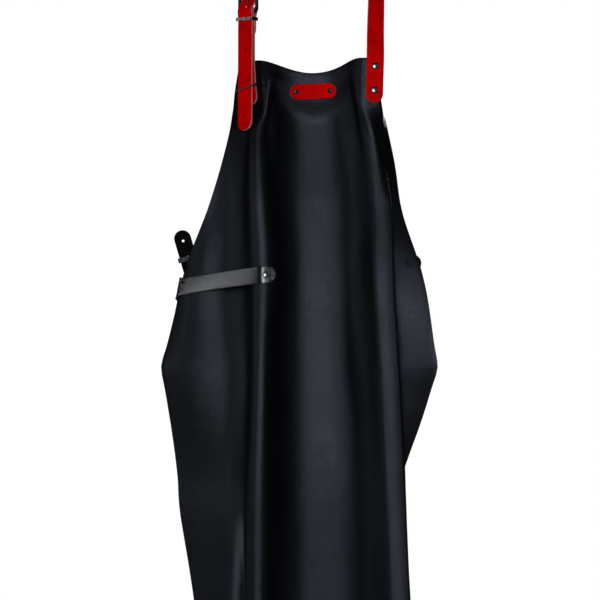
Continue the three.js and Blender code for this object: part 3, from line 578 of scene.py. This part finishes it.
def makeStrap(name, knots, materials, wide=strapSize["wide"], thick=strapSize["thick"], startRound=False,
              endRound=False, pitch=2.6, cutters=(), crown=0.18):
    samples = samplePath(knots)
    lengths = [0]
    for before, after in zip(samples, samples[1:]):
        lengths.append(lengths[-1] + (after[0] - before[0]).length)
    total, half = lengths[-1], wide / 2
    roundSteps = [1 - math.cos(math.radians(a)) for a in (9, 18, 28, 38, 48, 58, 68, 79)]
    first = [half * step for step in roundSteps] if startRound else []
    begin, finish = (half if startRound else 0), total - (half if endRound else 0)
    count = max(2, math.ceil((finish - begin) / pitch))
    distances = ([0.06] if startRound else []) + first
    distances += [begin + (finish - begin) * i / count for i in range(count + 1)]
    if endRound:
        distances += [total - half * step for step in reversed(roundSteps)] + [total - 0.06]
    columns = 10
    bm = bmesh.new()
    bmesh.ops.create_grid(bm, x_segments=len(distances) - 1, y_segments=columns, size=1)
    grid = np.array([[*s[0], *s[1], s[2]] for s in samples])
    stations = []
    for distance in distances:
        values = [float(np.interp(distance, lengths, grid[:, c])) for c in range(7)]
        ahead = Vector([float(np.interp(min(distance + 0.4, total), lengths, grid[:, c])) for c in range(3)])
        behind = Vector([float(np.interp(max(distance - 0.4, 0), lengths, grid[:, c])) for c in range(3)])
        tangent = (ahead - behind).normalized()
        face = Vector(values[3:6])
        face = (face - tangent * face.dot(tangent)).normalized()
        square = tangent.cross(face).normalized()
        i = min(int(values[6]), len(knots) - 2)
        low, high = [Vector(k[2]) if len(k) > 2 else square for k in (knots[i], knots[i + 1])]
        across = low.lerp(high, values[6] - i)
        across = (across - face * across.dot(face)).normalized()
        fromEnd = min(distance if startRound else half, total - distance if endRound else half, half)
        width = math.sqrt(max(half**2 - (half - fromEnd) ** 2, 0)) / abs(across.dot(square))
        stations.append((Vector(values[:3]), across, face, width, distance))
    uvLayer = bm.loops.layers.uv.new("UVMap")
    flatPlace = {}
    for vert in bm.verts:
        i = round((vert.co.x + 1) / 2 * (len(distances) - 1))
        share = vert.co.y
        centre, across, face, width, distance = stations[i]
        flatPlace[vert.index] = (share * width, distance)
        vert.co = centre + across * (width * share) - face * (crown * share**2 * (width / half))
    for face in bm.faces:
        for loop in face.loops:
            place, distance = flatPlace[loop.vert.index]
            loop[uvLayer].uv = (place * millimetre, distance * millimetre)
    bmesh.ops.reverse_faces(bm, faces=bm.faces)  # the grain side out
    piece = intoScene(name, bm, materials, 50)
    giveBody(piece, thick, min(0.55, thick * 0.2), cutters, 50)
    return piece


def holeCutter(centre, direction, radius, deep=30):
    bm = bmesh.new()
    turn = Vector((0, 0, 1)).rotation_difference(Vector(direction)).to_matrix().to_4x4()
    place = Matrix.Translation(Vector(centre)) @ turn
    bmesh.ops.create_cone(bm, cap_ends=True, segments=24, radius1=radius, radius2=radius, depth=deep,
                          matrix=place)
    return intoScene("cutter", bm, [])


def lapped(place, length):
    return [onPanel(place, share * length, strapOut) for share in (1, 0.8, 0.6, 0.4, 0.2, 0)]


def leg(side, height, degrees):
    return (Vector((side * strapSize["archRadius"], strapSize["depth"], height)), turned(side, degrees))


# Buckle axes: across the strap, up towards the far bar, out of its face.
def buckleAxes(origin, along, face):
    up = Vector(along).normalized()
    out = (Vector(face) - up * Vector(face).dot(up)).normalized()
    return {"origin": Vector(origin), "up": up, "out": out, "across": up.cross(out)}


def inBuckle(axes, u, n, w=0.0):
    return axes["origin"] + axes["up"] * u + axes["out"] * n + axes["across"] * w


buckle = {"window": 22.5, "bar": 3.6, "washer": 1.1}


def buckleKnots(axes, thick, fold):
    layer = thick + fit["gap"]
    barDepth = -layer / 2
    loop = math.sqrt(0.5) * buckle["bar"] + 1.6 * fit["gap"] + thick / 2
    over = barDepth + loop + layer
    above = layer + buckle["washer"] + 2 * fit["gap"]
    farBar = buckle["window"] + buckle["bar"]
    under = barDepth - buckle["bar"] / 2 - 2 * fit["gap"] - thick / 2
    folded = [(inBuckle(axes, u, n), axes["out"])
              for u, n in ((-fold - 4, 0), (-fold * 0.45, 0), (-8, 0.3))]
    for step in range(9):
        turn = math.radians(22.5 * step)
        out = axes["out"] * math.cos(turn) + axes["up"] * math.sin(turn)
        folded.append((inBuckle(axes, 0, barDepth) + out * loop, out))
    folded += [(inBuckle(axes, u, n), -axes["out"])
               for u, n in ((-8, -layer - 0.3), (-0.45 * fold, -layer), (-fold, -layer))]
    holed = [(inBuckle(axes, u, n), axes["out"]) for u, n in (
        (farBar + 10, under), (farBar + 2, under), (farBar - 3, under), (farBar * 0.45, (over + under) / 2),
        (2.5, over), (-3, over), (-14, above + 0.2), (-21, above))]
    return {"folded": folded, "holed": holed, "layer": layer, "above": above, "barDepth": barDepth}


neckStrap = {
    "bibRight": 104, "bibLeft": -97.5, "lapRight": 65, "lapLeft": 67, "rivetFromEnd": (17.5, 52.6),
    "legTop": -45, "buckleHeight": -129, "fold": 38, "tailOut": 5.2,
    "holes": (-56, -112, -157), "holeRadius": 1.7,
    # along the tail from the heel bar, and how far it leans straight towards the viewer
    "lean": ((-177, 27), (-150, 19.5), (-121, 13.3), (-87, 7.2), (-45, 1.6), (-26, 0)),
    "splitAt": (-13.5, 4.75),
}
leftTop, leftFace = onPanel(neckStrap["bibLeft"], 0, strapOut)
neckAxes = buckleAxes((leftTop.x, leftTop.y, neckStrap["buckleHeight"]), (0, 0, 1), leftFace)
neckKit = buckleKnots(neckAxes, strapSize["thick"], neckStrap["fold"])


# Right bib end, up over the hook, and down through the buckle to the upper keeper: one strap.
def makeNeckStrap():
    archRadius, legTop = strapSize["archRadius"], neckStrap["legTop"]
    lap = lapped(neckStrap["bibRight"], neckStrap["lapRight"])
    top = lap[-1][0]
    side = Vector((archRadius, strapSize["depth"], 0))
    knots = list(lap)
    low = side.lerp(top, 0.75)
    low.z = (panel["top"] * 3 + legTop) / 4
    knots.append((low, turned(1, 16)))
    forward = top.y * 0.38 + strapSize["depth"] * 0.62
    knots.append((Vector((archRadius, forward, (panel["top"] + legTop * 2) / 3)), turned(1, 27)))
    knots += [leg(1, legTop - 16, 70), leg(1, legTop, 89.6), leg(1, legTop / 2, 90)]
    for step in range(25):
        angle = math.radians(7.5 * step)
        out = Vector((math.cos(angle), 0, math.sin(angle)))
        knots.append((out * archRadius + Vector((0, strapSize["depth"], 0)), out))
    knots += [leg(-1, legTop / 2, 90), leg(-1, legTop, 89.6)]
    knots.append(leg(-1, (legTop * 2 + neckStrap["buckleHeight"] + 36) / 3, 68))
    holed = neckKit["holed"][:-1]
    knots += holed
    knots[-1] = (inBuckle(neckAxes, *neckStrap["splitAt"]), neckAxes["out"])
    slot = holeCutter(inBuckle(neckAxes, 7, -0.5), neckAxes["out"], 2.1)
    piece = makeStrap("neckStrap", knots, [redLeather, redEdge, redFlesh], startRound=True, cutters=[slot])
    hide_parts("neck_strap_arch", "neck_strap_right", "neck_strap_left")
    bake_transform(piece)
    return piece


def onTail(u):
    lean = float(np.interp(u, *zip(*neckStrap["lean"])))
    return inBuckle(neckAxes, u, neckStrap["tailOut"]) - Vector((0, lean, 0))


def makeNeckTail():
    out = neckAxes["out"]
    knots = [(inBuckle(neckAxes, *neckStrap["splitAt"]), out), (inBuckle(neckAxes, -20, 4.9), out)]
    knots += [(onTail(u), out) for u, _ in reversed(neckStrap["lean"])]
    cutters = [holeCutter(onTail(u), out, neckStrap["holeRadius"]) for u in neckStrap["holes"]]
    piece = makeStrap("neckTail", knots, [redLeather, redEdge, redFlesh], endRound=True, cutters=cutters)
    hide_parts("neck_strap_tail")
    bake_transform(piece)
    return piece


def makeNeckBase():
    knots = lapped(neckStrap["bibLeft"], neckStrap["lapLeft"])
    knots += [(inBuckle(neckAxes, -50, 0), neckAxes["out"]), *neckKit["folded"]]
    slot = holeCutter(inBuckle(neckAxes, 3.4, neckKit["barDepth"]), neckAxes["up"], 2.6, 9)
    piece = makeStrap("neckBuckleStrap", knots, [redLeather, redEdge, redFlesh],
                      startRound=True, endRound=True, cutters=[slot])
    claim(piece, "apron", "red_leather", "neck_buckle_strap")
    return piece


makeNeckStrap()
makeNeckTail()
makeNeckBase()
print("neck strap made")

waist = {"thick": 2.6, "height": -517, "slope": 5.6, "rivetFlat": -92, "pastRivet": 14.5,
         "wrap": 3.4, "inset": 1, "advance": 8, "fold": 26, "rightDrop": 297,
         "tailLong": 175, "holes": (-109, -134, -159), "holeRadius": 2}
waistAxes = buckleAxes((-145.4, -10.8, waist["height"] - 101), (0.28, 0, -0.96), (0, 1, 0))
waistKit = buckleKnots(waistAxes, waist["thick"], waist["fold"])
waistOut = onLeather + 2 * fit["lapAir"] + waist["thick"] / 2


def frontDrop(place):
    rise = (place - waist["rivetFlat"]) * math.tan(math.radians(waist["slope"])) * 0.8
    return panel["top"] - waist["height"] - rise


def makeWaistLeft():
    rivetPlace = waist["rivetFlat"]
    knots = [onPanel(place, frontDrop(place), waistOut) for place in (rivetPlace, rivetPlace - 6)]
    (rivetPoint, rivetFace), (nextPoint, _) = knots[:2]
    along = rivetPoint - nextPoint
    along = (along - rivetFace * along.dot(rivetFace)).normalized()
    for share in (0.5, 1):
        knots.insert(0, (rivetPoint + along * (share * waist["pastRivet"]), rivetFace))
    drop = frontDrop(waist["rivetFlat"]) + 18
    rim, rimFace = onPanel(-halfWidth(drop), drop)
    edge = (onPanel(-halfWidth(drop - 20), drop - 20)[0] - rim).normalized()
    outward = edge.cross(rimFace).normalized()
    if outward.x > 0:
        outward.negate()
    centre = rim - outward * waist["inset"]
    for angle in (0, 45, 90, 135, 180):
        out = rimFace * math.cos(math.radians(angle)) + outward * math.sin(math.radians(angle))
        knots.append((centre + out * waist["wrap"] - edge * (waist["advance"] * angle / 180), out, edge))
    knots += waistKit["folded"]
    slot = holeCutter(inBuckle(waistAxes, 3.2, waistKit["barDepth"]), waistAxes["up"], 2.6, 9)
    piece = makeStrap("waistStrapLeft", knots, [strapLeather, blackEdge, blackFlesh], thick=waist["thick"],
                      startRound=True, endRound=True, cutters=[slot])
    claim(piece, "apron", "black_leather", "waist_strap_left")


def makeWaistRight():
    rightEdge = halfWidth(waist["rightDrop"])

    def flat(place, shift=0):
        point, face = onPanel(place, waist["rightDrop"], -waistOut)
        return (point + Vector((shift, 0, 0)), -face)

    h = waist["height"]
    knots = [flat(rightEdge - 2, 6), flat(rightEdge - 20), flat(rightEdge - 38)]
    knots += [(Vector(p), Vector(f)) for p, f in (
        ((92, -36, h - 18), (0, 1, -0.2)), ((38, -27, h - 95), (0.1, 0.8, -0.6)),
        ((-20, -25, h - 158), (0, 0.5, -0.9)), ((-76, -24, h - 184), (-0.2, 0.5, -0.9)),
        ((-115, -22, h - 170), (-0.6, 0.9, -0.5)))]
    knots += waistKit["holed"]
    above = waistKit["above"]
    knots += [(inBuckle(waistAxes, u, above), waistAxes["out"]) for u in (-45, -90, -waist["tailLong"])]
    cutters = [holeCutter(inBuckle(waistAxes, u, above), (0, 1, 0), waist["holeRadius"])
               for u in waist["holes"]]
    cutters.append(holeCutter(inBuckle(waistAxes, 7, -0.5), waistAxes["out"], 2.1))
    piece = makeStrap("waistStrapRight", knots, [strapLeather, blackEdge, blackFlesh], thick=waist["thick"],
                      startRound=True, endRound=True, cutters=cutters)
    claim(piece, "apron", "black_leather", "waist_strap_right")


makeWaistLeft()
makeWaistRight()
print("waist strap made")

# label patch
patch = {"wide": 71, "high": 22, "thick": 1.8, "height": -246, "rivetSpan": 52, "tilt": 2, "capRadius": 3.6}
patchOut = onLeather + fit["lapAir"] + patch["thick"] / 2


def patchDrop(place):
    return panel["top"] - patch["height"] - place * math.tan(math.radians(patch["tilt"]))


patchKnots = []
for share in (-0.5, -0.3, -0.1, 0.1, 0.3, 0.5):
    patchKnots.append(onPanel(share * patch["wide"], patchDrop(share * patch["wide"]), patchOut))
patchPiece = makeStrap("labelPatch", patchKnots, [redLeather, redEdge, redFlesh], wide=patch["high"],
                       thick=patch["thick"], startRound=True, endRound=True, pitch=2, crown=0.3)
claim(patchPiece, "apron", "red_leather", "label_patch")
print("label patch made")

# rivets
rivetSize = {"cap": 5.25, "shank": 1.8, "washer": 4.4, "washerThick": 1.1}


# Spins a profile of (radius, height) round an axis through a point.
def spun(name, profile, point, direction, material):
    bm = bmesh.new()
    verts = [bm.verts.new((r, 0, h)) for r, h in profile]
    edges = [bm.edges.new(pair) for pair in zip(verts, verts[1:])]
    bmesh.ops.spin(bm, geom=verts + edges, cent=(0, 0, 0), axis=(0, 0, 1), angle=2 * math.pi, steps=36,
                   use_merge=True)
    bmesh.ops.remove_doubles(bm, verts=bm.verts, dist=1e-4)
    bmesh.ops.recalc_face_normals(bm, faces=bm.faces)
    turn = Vector((0, 0, 1)).rotation_difference(Vector(direction)).to_matrix().to_4x4()
    bmesh.ops.transform(bm, matrix=Matrix.Translation(point) @ turn, verts=bm.verts)
    return intoScene(name, bm, [material], 38)


def makeRivet(name, node, point, face, front, behind, slot="nickel", material=None, radius=None):
    radius = radius or rivetSize["cap"]
    material = material or nickel
    seat, end = front + fit["gap"], behind + fit["gap"] + rivetSize["washerThick"]
    height = 0.42 * radius
    dome = [(radius * math.cos(a), seat + 0.55 + (height - 0.55) * math.sin(a)) for a in
            (math.radians(d) for d in (0, 12, 24, 38, 52, 66, 78))]
    shank = rivetSize["shank"]
    cap = [(0, -end), (shank, -end), (shank, seat), (radius - 0.35, seat), (radius, seat + 0.3), *dome,
           (0, seat + height)]
    piece = spun(name + "Rivet", cap, point, face, material)
    claim(piece, "apron", slot, node + "_rivet")
    inner, outer, thick = shank + fit["gap"], rivetSize["washer"], rivetSize["washerThick"]
    ring = [(inner, -end), (outer - 0.25, -end), (outer, -end + 0.25), (outer, -end + thick - 0.2),
            (outer - 0.2, -end + thick), (inner, -end + thick), (inner, -end)]
    washer = spun(name + "Washer", ring, point, face, material)
    claim(washer, "apron", slot, node + "_washer")


strapFront = onLeather + fit["lapAir"] + strapSize["thick"]
for sideName in ("Right", "Left"):
    flatPlace, lap = neckStrap["bib" + sideName], neckStrap["lap" + sideName]
    for which, fromEnd in zip(("lower", "upper"), neckStrap["rivetFromEnd"]):
        point, face = onPanel(flatPlace, lap - fromEnd)
        makeRivet("bib" + sideName + which.capitalize(), f"bib_{sideName.lower()}_{which}", point, face,
                  strapFront + fit["gap"], panel["thick"] / 2 + 2 * fit["lapAir"])
for side, word in ((-1, "left"), (1, "right")):
    place = side * patch["rivetSpan"] / 2
    point, face = onPanel(place, patchDrop(place))
    makeRivet("label" + word.capitalize(), f"label_{word}", point, face,
              patchOut + patch["thick"] / 2 + fit["gap"], panel["thick"] / 2 + fit["gap"],
              "black_steel", blackSteel, patch["capRadius"])
point, face = onPanel(waist["rivetFlat"], frontDrop(waist["rivetFlat"]))
makeRivet("waistFront", "waist_front", point, face, waistOut + waist["thick"] / 2,
          panel["thick"] / 2 + 2 * fit["lapAir"])
point, face = onPanel(halfWidth(waist["rightDrop"]) - 16, waist["rightDrop"])
makeRivet("waistRight", "waist_right", point, -face, waistOut + waist["thick"] / 2,
          panel["thick"] / 2 + fit["lapAir"], "black_steel", blackSteel)
folds = (("neckFold", "neck_fold", neckAxes, neckKit, strapSize["thick"], neckStrap["fold"]),
         ("waistFold", "waist_fold", waistAxes, waistKit, waist["thick"], waist["fold"]))
for label, node, axes, kit, thick, fold in folds:
    makeRivet(label, node, inBuckle(axes, -0.72 * fold, 0), -axes["out"], thick / 2 + kit["layer"],
              thick / 2 + fit["gap"])
print("rivets made")


# hardware from the CAD, with its corners eased
def easedCopy(name, node, body, slot, material, rounding, segments=3, smoothTo=40):
    bm = bmesh.new()
    bm.from_mesh(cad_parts[node].data)
    bmesh.ops.transform(bm, matrix=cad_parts[node].matrix_world, verts=bm.verts)
    bmesh.ops.remove_doubles(bm, verts=bm.verts, dist=1e-6)
    bmesh.ops.dissolve_limit(bm, angle_limit=math.radians(1), verts=bm.verts, edges=bm.edges)
    sharp = [e for e in bm.edges if len(e.link_faces) == 2 and e.calc_face_angle() > math.radians(40)]
    bmesh.ops.bevel(bm, geom=sharp, offset=rounding * millimetre, segments=segments, profile=0.5,
                    affect="EDGES", material=-1, clamp_overlap=True)
    uvLayer = bm.loops.layers.uv.verify()
    for face in bm.faces:
        for loop in face.loops:
            co = loop.vert.co
            loop[uvLayer].uv = (co.x + co.y, co.z)
    bmesh.ops.scale(bm, vec=(1 / millimetre,) * 3, verts=bm.verts)
    piece = intoScene(name, bm, [material], smoothTo)
    # wide flat faces stay flat beside the eased corners
    evenly = piece.modifiers.new("evenly", "WEIGHTED_NORMAL")
    evenly.keep_sharp = True
    evenly.weight = 90
    settle(piece, smoothTo)
    claim(piece, body, slot, node)
    return piece


bpy.context.view_layer.update()
easedCopy("neckBuckleFrame", "neck_buckle_frame", "apron", "black_steel", blackSteel, 1.1)
easedCopy("waistBuckleFrame", "waist_buckle_frame", "apron", "black_steel", blackSteel, 1.1)
easedCopy("neckProng", "neck_buckle_prong", "neck_prong", "black_steel", blackSteel, 0.12, 1, 55)
easedCopy("waistProng", "waist_buckle_prong", "waist_prong", "black_steel", blackSteel, 0.12, 1, 55)
easedCopy("neckUpperKeeper", "neck_upper_keeper", "neck_upper_keeper", "black_leather", strapLeather, 0.5)
easedCopy("neckLowerKeeper", "neck_lower_keeper", "neck_lower_keeper", "black_steel", blackSteel, 0.5)
easedCopy("waistKeeper", "waist_keeper", "waist_keeper", "black_leather", blackLeather, 0.5)
easedCopy("hookBackPlate", "hook_back_plate", "hook", "black_steel", blackSteel, 0.9)
easedCopy("hookSaddle", "hook_saddle", "hook", "black_steel", blackSteel, 0.6)
easedCopy("hookFrontLip", "hook_front_lip", "hook", "black_steel", blackSteel, 0.9)
for word in ("top", "left", "right"):
    easedCopy("wallScrew" + word.capitalize(), "wall_screw_" + word, "hook", "black_steel", blackSteel, 0.25, 2)
print("hardware finished")

claim(panelPiece, "apron", "black_leather", "apron_panel")

# a plain round floor, well under the hem
floorSize = {"radius": 1150, "height": -1260}
bm = bmesh.new()
bmesh.ops.create_circle(bm, cap_ends=True, segments=96, radius=floorSize["radius"],
                        matrix=Matrix.Translation((0, 0, floorSize["height"])))
floorMaterial, _, _, shader = newMaterial("paleFloor", (0.8, 0.8, 0.8))
shader.inputs["Base Color"].default_value = (0.74, 0.74, 0.73, 1)
shader.inputs["Roughness"].default_value = 0.8
floor = intoScene("floor", bm, [floorMaterial])

print("finished")
